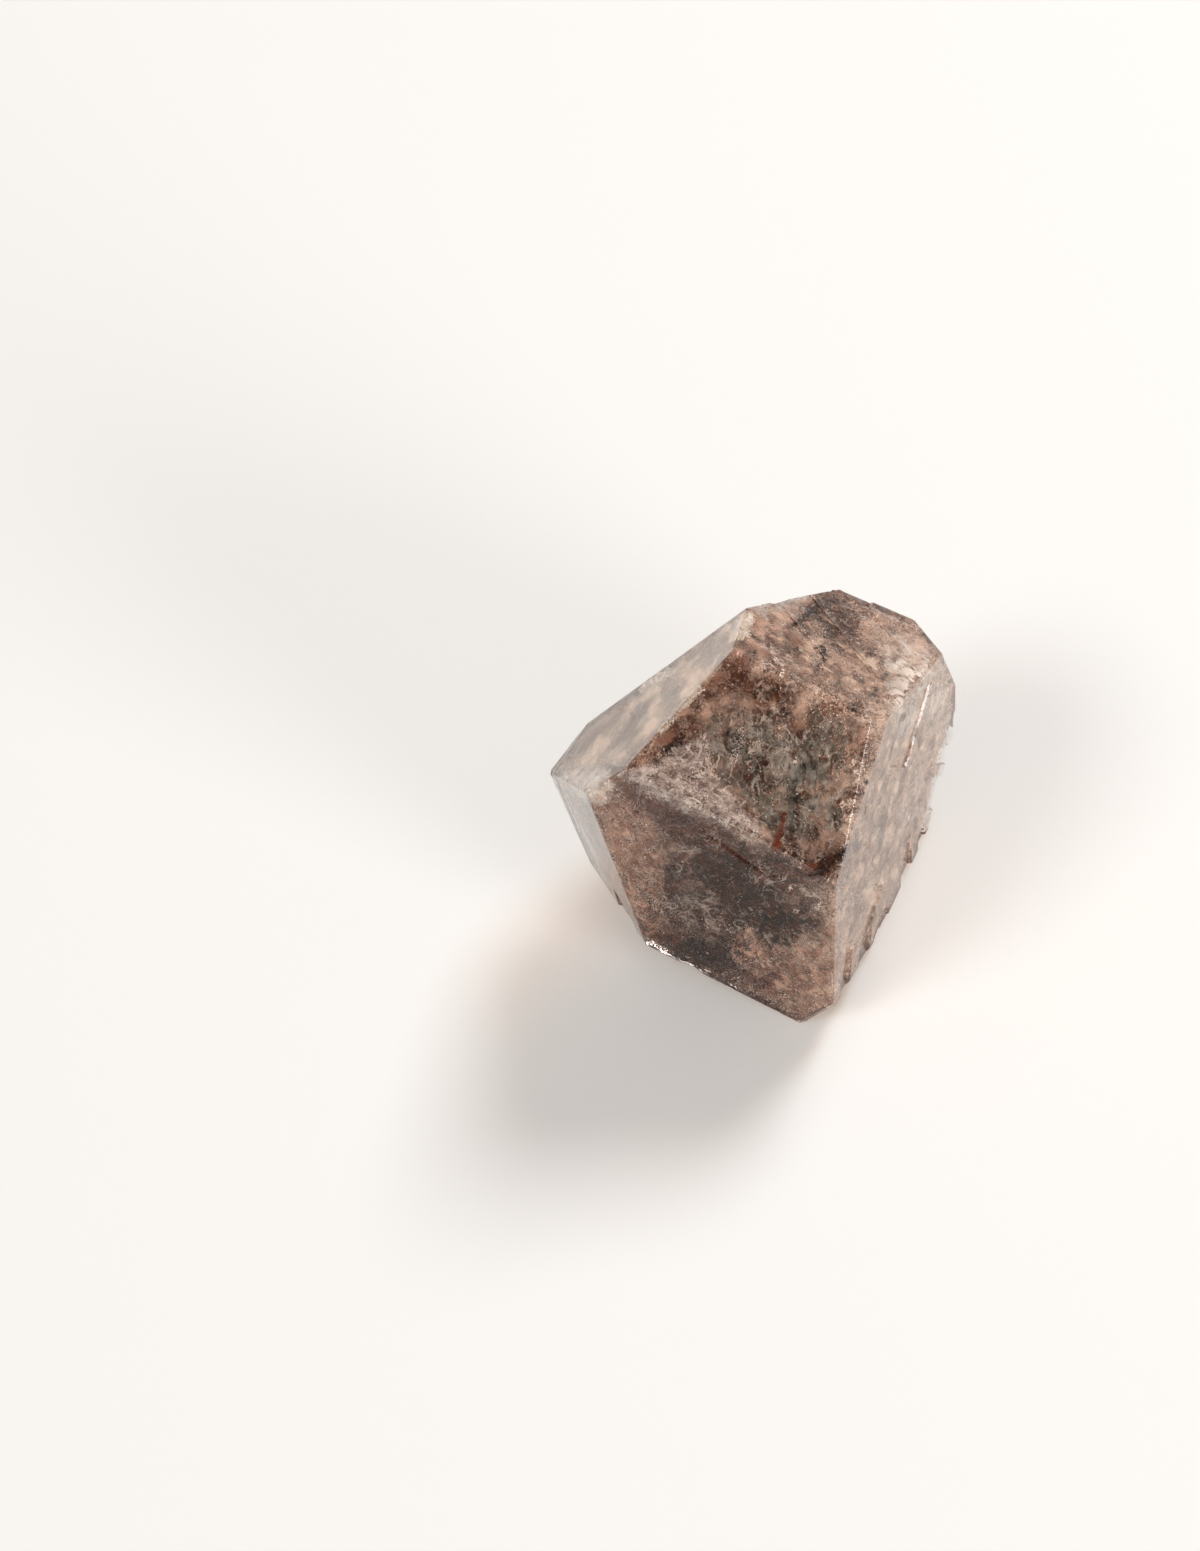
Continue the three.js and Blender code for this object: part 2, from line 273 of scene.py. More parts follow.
def haze(name, dark, light, size_mm, ends, most, way=None, lines=False, detail=3.5, curl=1.0):
    """Dust too fine to see as grains: a film that is thick here and thin there, in blotches or in
    thin lines, and drawn out along a direction in the picture."""
    material, tree = new_material(name)
    place = put(tree, "ShaderNodeTexCoord").outputs["Object"]
    if way:
        turn = Vector(toward(way)).rotation_difference(Vector((1, 0, 0))).to_euler()
        for change in {"Rotation": turn}, {"Scale": HAZE_STRETCH}:
            place = put(tree, "ShaderNodeMapping", {"Vector": place, **change}).outputs["Vector"]
    wisps = put(tree, "ShaderNodeTexNoise", {
        "Vector": place, "Scale": 1 / (size_mm * MM), "Detail": detail, "Roughness": 0.58,
        "Distortion": curl}).outputs["Fac"]
    if lines:
        wisps = put(tree, "ShaderNodeMath", {0: wisps, 1: 0.5},
                    operation="SUBTRACT").outputs["Value"]
        wisps = put(tree, "ShaderNodeMath", {0: wisps}, operation="ABSOLUTE").outputs["Value"]
    thick = put(tree, "ShaderNodeMapRange", {
        "Value": wisps, "From Min": ends[0], "From Max": ends[1], "To Min": 0.0, "To Max": most,
    }).outputs["Result"]
    cover = put(tree, "ShaderNodeAttribute", attribute_name="cover").outputs["Fac"]
    thick = put(tree, "ShaderNodeMath", {0: thick, 1: cover}, operation="MULTIPLY").outputs["Value"]
    colour = put(tree, "ShaderNodeValToRGB", {"Fac": pattern(tree, size_mm * 1.7)},
                 stops=[(0.38, tint(dark)), (0.62, tint(light))]).outputs["Color"]
    dust = put(tree, "ShaderNodeBsdfPrincipled", {
        "Base Color": colour, "Roughness": 0.9, "Specular IOR Level": 0.0})
    clear = put(tree, "ShaderNodeBsdfTransparent")
    film = put(tree, "ShaderNodeMixShader", {
        0: thick, 1: clear.outputs["BSDF"], 2: dust.outputs["BSDF"]}).outputs["Shader"]
    put(tree, "ShaderNodeOutputMaterial", {"Surface": film})
    return material


# ---- What is sealed in ----

LATTICE = np.random.default_rng(3).random((32, 32, 32))


def covers(outline, places):
    """Which places a closed outline goes round."""
    x, y = places.T
    inside = np.zeros(len(places), bool)
    for (x0, y0), (x1, y1) in zip(outline, outline[1:] + outline[:1]):
        if y0 != y1:
            inside ^= ((y0 > y) != (y1 > y)) & (x < (x1 - x0) * (y - y0) / (y1 - y0) + x0)
    return inside


def border(outline, places):
    """How far places are inside a closed outline, in pixels, or less than 0 outside it."""
    away = np.full(len(places), np.inf)
    corners = np.array(outline, float)
    for a, b in zip(corners, np.roll(corners, -1, axis=0)):
        along = ((places - a) @ (b - a) / ((b - a) @ (b - a))).clip(0, 1)[:, None]
        away = np.minimum(away, np.hypot(*(places - a - along * (b - a)).T))
    return np.where(covers(outline, places), away, -away)


RAGGED = 14.0  # pixels, how far an outline's edge comes and goes
RAGGED_WIDE = 11  # pixels from one bay of it to the next
RAGGED_SLICE = 7.5  # where the noise is sliced for it


def ragged(outline, places):
    """As border, with the outline's edge made uneven."""
    level = np.column_stack([places / RAGGED_WIDE, np.full(len(places), RAGGED_SLICE)])
    bays = smooth_noise(level) + 0.5 * smooth_noise(level * 2.7) - 0.75
    return border(outline, places) + RAGGED * bays


def smooth_noise(points):
    """Smooth noise from 0 to 1, with one bump to each unit."""
    cells = np.floor(points).astype(int)
    parts = points - cells
    parts = parts * parts * (3 - 2 * parts)
    total = np.zeros(len(points))
    for corner in np.ndindex(2, 2, 2):
        share = np.where(corner, parts, 1 - parts).prod(axis=1)
        total += share * LATTICE[tuple(((cells + corner) % len(LATTICE)).T)]
    return total


DRAWN_OUT = 4.0  # how much longer clumps are along their grain
OCTAVES = (1, 0.5), (2.1, 0.3), (4.3, 0.2)  # how fine each is, and its share
ALONG_SIDE = (0.25, 0, 1)  # how the right-hand faces run off from the eye
ALONG_STRIP = (-0.14, -0.17, 1)  # and how the clear strip does


def thickness(points, clump, grain):
    """How thick the dust is at points, from 0 to 1, in clumps of this many millimetres, drawn out
    along the grain."""
    points = points / (clump * MM)
    if grain is not None:
        points = points - np.outer(points @ grain, grain) * (1 - 1 / DRAWN_OUT)
    return sum(share * smooth_noise(points * fine) for fine, share in OCTAVES)


def toward(way):
    """The direction in space of a way right, down and, with a third number, off from the eye."""
    if way is None:
        return None
    off = way[2] if len(way) > 2 else 0
    return np.array((RIGHT * way[0] - UP * way[1] - BACK * off).normalized())


CLOUD_ROUNDS = 40  # how often a cloud looks for more grains before it makes do
CLOUD_LOOSE = 0.03  # how loosely grains keep to the thick places


def cloud(draw, outline, count, depth, wide, clump=0.6, thin=0.45, blur=3.0, way=None, other=False,
          near=False):
    """Grains scattered through the crystal where an outline shows: places, widths and grain. The
    depth is in shares of the way through, or, near the surface, in mm."""
    low, high = np.min(outline, axis=0), np.max(outline, axis=0)
    kept, grain = [], toward(way)
    for _ in range(CLOUD_ROUNDS):
        places = draw.uniform(low, high, (count, 2))
        shares, wides = draw.uniform(*depth, count), draw.uniform(*wide, count) * MM
        inside = ragged(outline, places) > 0
        places = places + draw.normal(0, blur, (count, 2))
        points = seen_through(places, shares, shares * MM if near else None)
        fine = inside & np.isfinite(points[:, 0])
        thick = thickness(points[fine], clump, grain)
        thick = 1 - thick if other else thick
        fine[fine] = thick > thin + draw.normal(0, CLOUD_LOOSE, fine.sum())
        fine[fine] = sealed(points[fine], wides[fine] / 2)
        kept.append(np.column_stack([points, wides])[fine])
        if sum(map(len, kept)) >= count:
            break
    grains = np.concatenate(kept)[:count]
    way = np.zeros(3) if grain is None else grain
    return np.column_stack([grains, np.tile(way, (len(grains), 1))])


def trail(draw, route, crowd, deep, wide, spread=2.0):
    """Grains strung along a line in the picture, so many to a pixel and this many mm deep, each
    drawn out along it."""
    route = np.array(route, float)
    steps = np.diff(route, axis=0)
    ends = np.concatenate([[0], np.cumsum(np.hypot(*steps.T))])
    count = int(ends[-1] * crowd)
    along = draw.uniform(0, ends[-1], count)
    places = np.column_stack([np.interp(along, ends, axis) for axis in route.T])
    ways = steps[(np.searchsorted(ends, along) - 1).clip(0)]
    ways = ways[:, :1] * np.array(RIGHT) - ways[:, 1:] * np.array(UP)
    places = places + draw.normal(0, spread, (count, 2))
    points = seen_through(places, None, draw.uniform(*deep, count) * MM)
    wides = draw.uniform(*wide, count) * MM
    fine = sealed(points, wides / 2)
    return np.column_stack([points, wides, ways / np.linalg.norm(ways, axis=1)[:, None]])[fine]


def fleck(draw, place, count, deep, wide, across):
    """A tight knot of grains around one spot in the picture, this many mm deep."""
    places = np.array(place, float) + draw.normal(0, across / 2, (count, 2))
    points = seen_through(places, None, draw.uniform(*deep, count) * MM)
    wides = draw.uniform(*wide, count) * MM
    fine = sealed(points, wides / 2)
    return np.column_stack([points, wides, np.zeros((count, 3))])[fine]


GRAIN_SIDES = 3
GRAIN_LEAST, GRAIN_MOST = (0.8, 0.6, 0.3), (1.4, 1.0, 0.7)  # length, width, height, in widths
GRAIN_HOLD = 4  # how closely grains lie along their way


def grain_shape():
    """One angular grain, 1 across: a low pyramid."""
    mesh = bmesh.new()
    bmesh.ops.create_cone(
        mesh, cap_ends=True, segments=GRAIN_SIDES, radius1=0.5, radius2=0.0, depth=0.8)
    bmesh.ops.triangulate(mesh, faces=mesh.faces)
    corners = np.array([v.co for v in mesh.verts])
    faces = np.array([[v.index for v in f.verts] for f in mesh.faces])
    mesh.free()
    return corners, faces


def turned(draw, grains):
    """A rotation for each grain: any way round, or along its own grain and a little off it."""
    count, ways = len(grains), grains[:, 4:]
    long = np.where(ways.any(axis=1)[:, None], ways * GRAIN_HOLD, 0) + draw.normal(size=(count, 3))
    long /= np.linalg.norm(long, axis=1)[:, None]
    flat = np.cross(long, draw.normal(size=(count, 3)))
    flat /= np.linalg.norm(flat, axis=1)[:, None]
    return np.stack([long, flat, np.cross(long, flat)], axis=2)


def sow(name, draw, grains, material):
    """Joins all the grains of one kind in one piece."""
    grains = np.concatenate(grains)
    shape, faces = grain_shape()
    count = len(grains)
    sizes = grains[:, 3:4] * draw.uniform(GRAIN_LEAST, GRAIN_MOST, (count, 3))
    corners = np.einsum("nij,nkj->nki", turned(draw, grains), shape * sizes[:, None])
    corners += grains[:, None, :3]
    faces = faces[None] + np.arange(count)[:, None, None] * len(shape)
    mesh = bpy.data.meshes.new(name)
    mesh.from_pydata(corners.reshape(-1, 3).tolist(), [], faces.reshape(-1, 3).tolist())
    return keep(name, mesh, material)


def keep(name, mesh, material):
    """Puts a finished mesh in the scene, as a piece that rides on the part's one body."""
    mesh.materials.clear()
    mesh.materials.append(material)
    piece = bpy.data.objects.new(name, mesh)
    bpy.context.scene.collection.objects.link(piece)
    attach(piece, "root")
    return piece


LAYER_STEP = 4.0  # pixels
LAYER_SWELL = 40  # pixels from one swell of a layer to the next
LAYER_APART = 37  # how much the swells change with each mm of depth


def add_layer(mesh, cover, outline, deep, blur):
    """One curved layer of a veil, this many mm deep, that thins out towards its outline."""
    low, high = np.min(outline, axis=0) - blur, np.max(outline, axis=0) + blur
    steps = np.ceil((high - low) / LAYER_STEP).astype(int)
    made = bmesh.ops.create_grid(
        mesh, x_segments=int(steps[0]), y_segments=int(steps[1]), size=1.0)["verts"]
    places = low + (np.array([v.co.xy for v in made]) + 1) / 2 * (high - low)
    level = np.column_stack([places / LAYER_SWELL, np.full(len(places), deep * LAYER_APART)])
    points = seen_through(places, None, deep * MM * (0.75 + 0.5 * smooth_noise(level)))
    thick = ((ragged(outline, places) + blur) / (2 * blur)).clip(0, 1)
    thick[~sealed(points, 0)] = 0
    for vertex, point, value in zip(made, points, thick * thick * (3 - 2 * thick)):
        vertex[cover] = value
        if value:
            vertex.co = point
    bmesh.ops.delete(mesh, geom=[v for v in made if not v[cover]], context="VERTS")


def hang(name, layers, material):
    """Joins layers in one piece. Each is an outline, its depths in mm and its blur."""
    mesh = bmesh.new()
    cover = mesh.verts.layers.float.new("cover")
    for outline, depths, blur in layers:
        for deep in depths:
            add_layer(mesh, cover, outline, deep, blur)
    made = bpy.data.meshes.new(name)
    mesh.to_mesh(made)
    mesh.free()
    made.shade_smooth()
    return keep(name, made, material)


EDGE_ROUND = 0.03 * MM  # how far the long edges are rounded
EDGE_SHORTEST = 0.5 * MM
FLAT_AREA = 0.5 * MM * MM
SLICE = 0.25 * MM  # the flat faces are cut this finely, so that they can be uneven
UNEVEN = (1.4, 0.009), (0.6, 0.003)  # how wide and how deep the unevenness is, in mm
UNEVEN_START = 50  # where in the noise it is taken


def round_edges(mesh):
    """Rounds the edges between the flat faces, as wear does, and leaves the small steps crisp."""
    worn = [e for e in mesh.edges if e.calc_face_angle() > math.radians(15)
            and e.calc_length() > EDGE_SHORTEST
            and min(f.calc_area() for f in e.link_faces) > FLAT_AREA]
    bmesh.ops.bevel(mesh, geom=worn, offset=EDGE_ROUND, offset_type="OFFSET", segments=2,
                    profile=0.5, affect="EDGES", material=-1, clamp_overlap=False)


def make_uneven(mesh):
    """Slices the faces finely and lets them sink a little here and there: no natural face is
    quite flat."""
    low, high = np.array(CAD_BOX)
    for axis in range(3):
        across = Vector([float(i == axis) for i in range(3)])
        for place in np.arange(low[axis] + SLICE / 2, high[axis], SLICE):
            everything = mesh.verts[:] + mesh.edges[:] + mesh.faces[:]
            bmesh.ops.bisect_plane(mesh, geom=everything, dist=SLICE * 1e-3,
                                   plane_co=across * place, plane_no=across)
    mesh.normal_update()
    points = np.array([v.co for v in mesh.verts])
    sinks = sum(deep * MM * smooth_noise(points / (wide * MM) + UNEVEN_START)
                for wide, deep in UNEVEN)
    sinks[points[:, 2] < SLICE / 2] = 0
    for vertex, normal, sink in zip(mesh.verts, [v.normal.copy() for v in mesh.verts], sinks):
        vertex.co -= normal * sink


def make_crystal():
    """The quartz itself."""
    mesh = merged_crystal()
    round_edges(mesh)
    make_uneven(mesh)
    made = bpy.data.meshes.new("quartz")
    mesh.to_mesh(made)
    mesh.free()
    made.shade_smooth()
    made.set_sharp_from_angle(angle=math.radians(14))
    piece = keep("quartz", made, clear_quartz())
    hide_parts("crystal")


# Where each thing shows, as outlines and lines in the picture.
DUSTY = [(742, 618), (837, 595), (912, 626), (955, 680), (955, 735), (932, 835), (890, 930),
         (838, 1010), (799, 1034), (640, 968), (598, 800), (640, 765), (722, 660)]
RIGHT_SIDE = [(800, 600), (912, 626), (965, 690), (960, 760), (935, 840), (895, 925), (843, 1010),
              (790, 1010), (760, 960), (822, 915), (846, 860), (842, 780), (835, 720), (790, 670)]
RIGHT_FACE = [(926, 660), (945, 680), (957, 730), (945, 790), (930, 850), (900, 920), (865, 970),
              (836, 1000), (834, 978), (836, 902), (843, 860), (864, 770), (886, 717)]
CENTRE = [(728, 662), (800, 680), (870, 730), (850, 800), (831, 875), (740, 830), (628, 775)]
LOWER_LEFT = [(606, 785), (650, 800), (740, 840), (830, 885), (833, 930), (770, 960), (760, 1000),
              (700, 975), (650, 945), (618, 880)]
EDGE_BAND = [(718, 658), (742, 646), (762, 649), (748, 670), (736, 693), (712, 717), (689, 734),
             (665, 752), (648, 766), (626, 772), (659, 729), (689, 696)]
UNDER_VEIL = [(612, 776), (648, 797), (706, 820), (740, 842), (725, 856), (680, 840), (636, 815)]
STREAKS = [(812, 711), (851, 725), (845, 790), (836, 830), (815, 830), (806, 780)]
V_ARMS = [(765, 848), (792, 858), (812, 866), (862, 838), (868, 846), (830, 870), (806, 886),
          (785, 872), (760, 862)]
OIL_CLOUD = [(692, 858), (706, 848), (718, 855), (742, 843), (752, 862), (765, 884), (776, 890),
             (792, 908), (824, 914), (822, 928), (803, 932), (788, 950), (774, 940), (751, 922),
             (735, 914), (718, 912), (716, 890), (700, 880)]
OIL_SMEAR = [(664, 869), (672, 866), (675, 890), (669, 896)]
OIL_POOL = [(671, 943), (695, 934), (710, 942), (742, 932), (742, 955), (730, 967), (707, 967),
            (683, 964)]
OIL_HALO = [(660, 865), (690, 838), (735, 842), (775, 870), (800, 905), (780, 950), (752, 975),
            (700, 975), (660, 940), (648, 905)]
OIL_TOP = [(789, 630), (812, 605), (833, 593), (845, 600), (851, 602), (859, 639), (842, 637),
           (824, 641), (820, 618)]
OIL_UPPER = [(726, 668), (736, 664), (757, 672), (786, 681), (789, 700), (765, 708), (748, 699),
             (730, 690)]
SMEAR = [(790, 749), (800, 755), (812, 749), (809, 776), (803, 805), (797, 848), (790, 848),
         (788, 790)]
BLOTCH_LEFT = [(710, 742), (722, 736), (728, 730), (748, 738), (745, 752), (722, 753)]
BLOTCH_MIDDLE = [(752, 762), (762, 750), (772, 752), (775, 768), (773, 790), (760, 794), (748, 778)]
LEFT_FACET = [(556, 780), (586, 792), (594, 810), (612, 858), (634, 925), (612, 890), (590, 850),
              (570, 815)]
CREAM = [(826, 884), (846, 868), (872, 868), (880, 890), (862, 925), (835, 945), (818, 925)]
LOWER_EDGE = [(632, 915), (650, 920), (690, 945), (704, 966), (676, 964), (642, 948)]
SMOKE = [(700, 722), (745, 715), (792, 738), (820, 748), (818, 800), (800, 838), (770, 822),
         (738, 796), (712, 762)]
VEIL = [(626, 774), (668, 757), (700, 738), (712, 776), (735, 800), (762, 832), (716, 822),
        (664, 802)]
MILKY = [(892, 640), (925, 652), (950, 690), (940, 720), (905, 735), (890, 700)]
FROSTED_TIP = [(556, 770), (590, 762), (606, 772), (612, 790), (600, 800), (580, 798), (566, 786)]
WHITE_SPOT = [(730, 632), (736, 620), (752, 615), (744, 632), (738, 640)]
WHITE_CRACK = [(632, 690), (650, 678), (668, 666), (670, 674), (654, 690), (640, 700)]
LEFT_PALE = [(600, 796), (640, 808), (664, 850), (662, 895), (662, 938), (640, 935), (616, 875)]
BOTTOM_PINK = [(768, 952), (800, 938), (838, 928), (852, 950), (832, 990), (800, 1012), (770, 990),
               (752, 968)]
WISPS = [(728, 940), (744, 928), (766, 940), (764, 956), (748, 966), (730, 958)]
ORANGE_STAIN = [(762, 975), (790, 966), (796, 984), (776, 996), (758, 990)]
STRIP = [(560, 768), (587, 728), (743, 615), (730, 652), (690, 695), (655, 730), (625, 765)]

RED_STAIN = [(784, 814), (780, 830), (777, 847)]
VEIL_LINES = [
    [(703, 735), (708, 752), (709, 770), (716, 785), (728, 797), (742, 815), (758, 833)],
    [(640, 781), (668, 783), (700, 793), (722, 806), (742, 822)],
    [(646, 792), (680, 800), (706, 812), (730, 826)],
    [(741, 726), (742, 740), (736, 752), (733, 762)],
    [(660, 768), (684, 764), (700, 772)],
]
# A painted highlight: the bright line along the edge of the clear strip, strung inside as white grains.
PAINTED_EDGE_HIGHLIGHT = [(721, 653), (700, 683), (680, 705), (657, 731)]
BLACK_LINES = [
    ([(789, 629), (800, 620), (812, 610), (822, 604)], 1.6),
    ([(588, 824), (594, 835), (603, 850)], 2.0),
    ([(659, 705), (668, 699)], 2.0),
    ([(881, 812), (883, 830), (881, 842), (880, 858)], 1.8),
    ([(664, 750), (676, 742), (684, 734)], 2.5),
    ([(864, 842), (845, 852), (826, 866), (812, 877)], 3.0),
    ([(765, 858), (778, 861), (790, 862)], 2.5),
    ([(823, 645), (824, 662)], 1.5),
    ([(852, 703), (860, 710)], 2.5),
]
SPECKS = [(866, 881), (849, 910), (887, 674), (893, 632), (868, 783), (893, 737), (797, 648),
          (650, 900), (902, 620), (755, 652), (772, 621)]
# Painted glints: spots where knots of white grains stand for sparkles of light off the quartz.
PAINTED_GLINTS = [(783, 672), (776, 660), (855, 762), (855, 772), (856, 781), (827, 682), (907, 816),
                 (790, 888), (801, 867), (819, 906), (795, 912), (852, 893), (860, 832), (852, 801),
                 (842, 806), (655, 856), (795, 762), (905, 694), (948, 705)]


def make_brown_clay(draw):
    """Brown clay right through the crystal: its muddy body."""
    grains = [
        cloud(draw, DUSTY, 12000, (0.04, 0.6), (0.04, 0.09), 0.45, 0.52),
        cloud(draw, DUSTY, 8000, (0.4, 0.95), (0.08, 0.2), 0.9, 0.45),
        cloud(draw, RIGHT_SIDE, 7000, (0.015, 0.3), (0.04, 0.1), 0.45, 0.5, way=ALONG_SIDE),
        cloud(draw, LOWER_LEFT, 6000, (0.2, 0.6), (0.04, 0.09), 0.4, 0.5),
        cloud(draw, EDGE_BAND, 2500, (0.02, 0.2), (0.04, 0.09), 0.3, 0.4),
        cloud(draw, STRIP, 900, (0.3, 0.9), (0.04, 0.09), 0.5, 0.5),
    ]
    sow("brown_clay", draw, grains, earthy("brown_clay", "#8f7063", "#ccb0a2", 0.5))


def make_pale_clay(draw):
    """Pale clay where the brown leaves room: the pinkish upper and right-hand parts."""
    grains = [
        cloud(draw, RIGHT_SIDE, 12000, (0.02, 0.4), (0.04, 0.09), 0.45, 0.52, way=ALONG_SIDE,
              other=True),
        cloud(draw, DUSTY, 7000, (0.03, 0.6), (0.04, 0.1), 0.4, 0.57, other=True),
        cloud(draw, MILKY, 3000, (0.02, 0.2), (0.04, 0.09), 0.5, 0.3, 6.0),
        cloud(draw, CREAM, 1800, (0.15, 0.7), (0.04, 0.09), 0.4, 0.45, 5.0, near=True),
        cloud(draw, STRIP, 900, (0.2, 0.9), (0.04, 0.09), 0.5, 0.5, other=True),
    ]
    sow("pale_clay", draw, grains, earthy("pale_clay", "#d3b5a1", "#f6e6d8", 0.5))


def make_white_clay_and_painted_glints(draw):
    """White specks and crack edges, and painted glints where the quartz catches the light: knots of
    white grains, and a line of them as a painted highlight along the clear strip's edge.
    """
    grains = [
        cloud(draw, WHITE_SPOT, 900, (0.15, 0.6), (0.05, 0.09), 0.3, 0.3, 1.5, near=True),
        cloud(draw, WHITE_CRACK, 1200, (0.15, 0.6), (0.05, 0.09), 0.3, 0.42, 1.5, near=True),
        cloud(draw, FROSTED_TIP, 1200, (0.15, 0.8), (0.05, 0.09), 0.3, 0.5, 2.0, near=True),
        cloud(draw, DUSTY, 1500, (0.02, 0.2), (0.03, 0.07), 0.3, 0.6, other=True),
        # a painted highlight along the clear strip's edge, as a line of white grains
        trail(draw, PAINTED_EDGE_HIGHLIGHT, 6, (0.15, 0.3), (0.04, 0.08), 1.0),
    ]
    grains += [trail(draw, line, 1.6, (0.1, 0.3), (0.03, 0.06), 1.6) for line in VEIL_LINES]
    # painted glints: a knot of white grains at each sparkle of light
    grains += [fleck(draw, place, 12, (0.15, 0.3), (0.05, 0.1), 3) for place in PAINTED_GLINTS]
    sow("white_clay_and_painted_glints", draw, grains, earthy("white_clay_and_painted_glints", "#e6d8ca", "#fffaf4", 0.4))


def make_lilac_clay(draw):
    """The pale mauve threads of the veil across the middle."""
    grains = [cloud(draw, VEIL, 3500, (0.02, 0.12), (0.03, 0.07), 0.25, 0.5, 2.0, (2, 1))]
    grains += [trail(draw, line, 5, (0.1, 0.35), (0.03, 0.06), 2.6) for line in VEIL_LINES]
    sow("lilac_clay", draw, grains, earthy("lilac_clay", "#a8958f", "#ecdfd9", 0.3))


def make_dark_clay(draw):
    """Dark brown clay along the edges of the large face and round the oil."""
    grains = [
        cloud(draw, EDGE_BAND, 1500, (0.02, 0.25), (0.04, 0.1), 0.25, 0.56),
        cloud(draw, UNDER_VEIL, 2500, (0.02, 0.25), (0.04, 0.1), 0.25, 0.5, 3.0, (2, 1)),
        cloud(draw, OIL_HALO, 5000, (0.05, 0.5), (0.04, 0.1), 0.35, 0.5),
        cloud(draw, CENTRE, 2000, (0.05, 0.6), (0.04, 0.1), 0.35, 0.57),
        cloud(draw, STREAKS, 1000, (0.05, 0.5), (0.04, 0.1), 0.35, 0.56, 3.0, (0, 1)),
        cloud(draw, V_ARMS, 1500, (0.03, 0.3), (0.04, 0.1), 0.3, 0.45),
        cloud(draw, RIGHT_SIDE, 3000, (0.02, 0.3), (0.04, 0.1), 0.3, 0.6, way=ALONG_SIDE),
        cloud(draw, DUSTY, 4000, (0.05, 0.6), (0.05, 0.12), 0.35, 0.58),
    ]
    sow("dark_clay", draw, grains, earthy("dark_clay", "#40261b", "#754a36", 0.6))


def make_brown_dust(draw):
    """Brown clay again, in finer specks just under the faces."""
    grains = [
        cloud(draw, DUSTY, 1500, (0.1, 0.7), (0.025, 0.06), 0.3, 0.64, near=True),
        cloud(draw, RIGHT_SIDE, 3000, (0.1, 0.4), (0.03, 0.07), 0.3, 0.56, way=ALONG_SIDE, near=True),
        cloud(draw, LOWER_LEFT, 2500, (0.1, 0.5), (0.025, 0.06), 0.25, 0.6, near=True),
        cloud(draw, LEFT_FACET, 900, (0.2, 1.2), (0.03, 0.06), 0.3, 0.5, 5.0, near=True),
        cloud(draw, OIL_CLOUD, 700, (0.08, 0.3), (0.03, 0.06), 0.2, 0.56, other=True, near=True),
    ]
    sow("brown_dust", draw, grains, earthy("brown_dust", "#7a4b38", "#bf9078", 0.3))


def make_pale_dust(draw):
    """Pale clay again, in finer specks just under the faces."""
    grains = [
        cloud(draw, DUSTY, 2500, (0.1, 0.7), (0.025, 0.06), 0.25, 0.64, other=True, near=True),
        cloud(draw, RIGHT_SIDE, 4500, (0.1, 0.4), (0.03, 0.07), 0.3, 0.56, way=ALONG_SIDE, other=True,
              near=True),
        cloud(draw, LEFT_PALE, 2400, (0.1, 0.5), (0.03, 0.06), 0.25, 0.53, 4.0, (0.35, 1), near=True),
        cloud(draw, BOTTOM_PINK, 2600, (0.1, 0.5), (0.03, 0.06), 0.25, 0.53, 4.0, other=True,
              near=True),
        cloud(draw, WISPS, 350, (0.1, 0.3), (0.03, 0.06), 0.2, 0.5, 3.0, near=True),
        cloud(draw, LEFT_FACET, 1800, (0.2, 0.9), (0.03, 0.06), 0.3, 0.45, 5.0, near=True),
    ]
    sow("pale_dust", draw, grains, earthy("pale_dust", "#caab97", "#fbeee2", 0.3))


def make_dark_dust(draw):
    """Dark clay again, in finer specks just under the faces."""
    grains = [
        cloud(draw, DUSTY, 1500, (0.1, 0.7), (0.03, 0.07), 0.22, 0.66, near=True),
        cloud(draw, LOWER_LEFT, 2500, (0.1, 0.6), (0.03, 0.07), 0.22, 0.62, near=True),
        cloud(draw, LOWER_EDGE, 1200, (0.1, 0.8), (0.03, 0.07), 0.3, 0.4, near=True),
        cloud(draw, RIGHT_SIDE, 900, (0.1, 0.4), (0.04, 0.08), 0.22, 0.66, way=ALONG_SIDE, near=True),
        cloud(draw, OIL_HALO, 2500, (0.1, 0.5), (0.03, 0.07), 0.2, 0.6, near=True),
    ]
    sow("dark_dust", draw, grains, earthy("dark_dust", "#2e1a12", "#5d3a2b", 0.3))


def make_rust(draw):
    """Rust: reddish brown stains, and one red streak."""
    grains = [
        trail(draw, RED_STAIN, 7, (0.15, 0.6), (0.05, 0.1), 1.6),
        cloud(draw, UNDER_VEIL, 700, (0.12, 0.6), (0.04, 0.08), 0.3, 0.5, 3.0, (2, 1), near=True),
        cloud(draw, LOWER_LEFT, 2000, (0.12, 0.8), (0.04, 0.08), 0.3, 0.54, near=True),
        cloud(draw, ORANGE_STAIN, 800, (0.03, 0.2), (0.04, 0.09), 0.3, 0.45, 5.0),
        cloud(draw, DUSTY, 2000, (0.03, 0.5), (0.04, 0.1), 0.3, 0.6),
    ]
    sow("rust", draw, grains, earthy("rust", "#4d1f13", "#8f4c31", 0.4))


